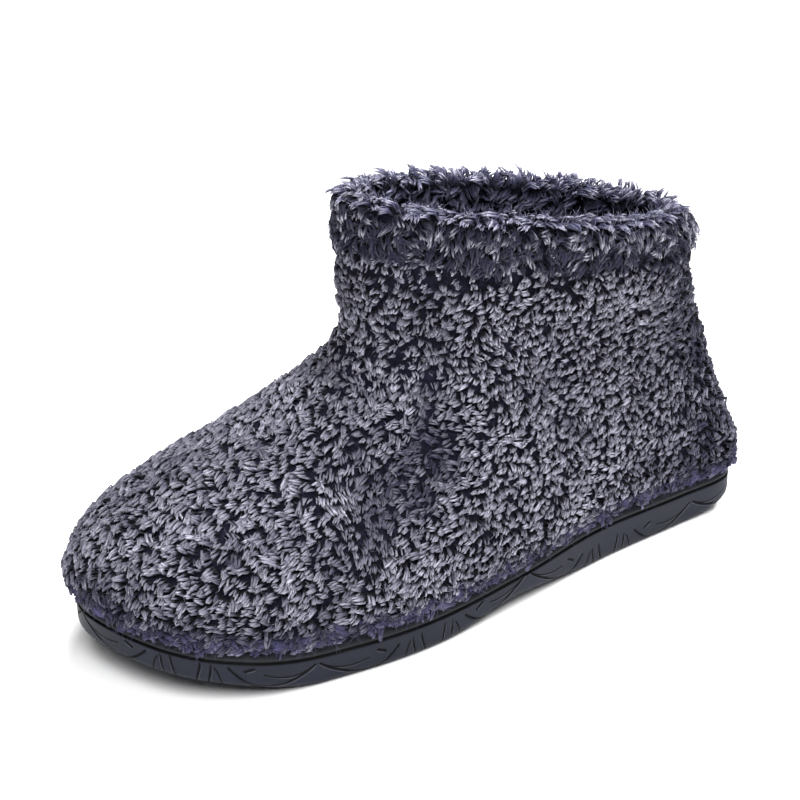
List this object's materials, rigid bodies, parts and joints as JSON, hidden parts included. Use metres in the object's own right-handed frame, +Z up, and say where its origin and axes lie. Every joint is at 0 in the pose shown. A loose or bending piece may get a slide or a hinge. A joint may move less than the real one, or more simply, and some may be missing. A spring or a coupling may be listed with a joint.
{
  "type": "bootie slipper",
  "caption": "Low bootie slipper with a deep-pile fleece upper, a rolled collar and a moulded rubber cup sole.",
  "frame": {"origin": "on the floor, under the middle of the whole slipper", "axes": "+X from the heel to the toe, +Y to the outer side of the left foot, +Z up"},
  "size_m": [0.2966, 0.116, 0.1611],
  "materials": {
    "rubber": "satin dark navy-grey moulded rubber",
    "fleece": "deep-pile navy fleece with frosted silver tips",
    "lining": "soft matte dark navy fleece"
  },
  "bodies": {
    "root": {"outsole": "rubber", "upper": "fleece", "insole": "lining"}
  },
  "joints": []
}
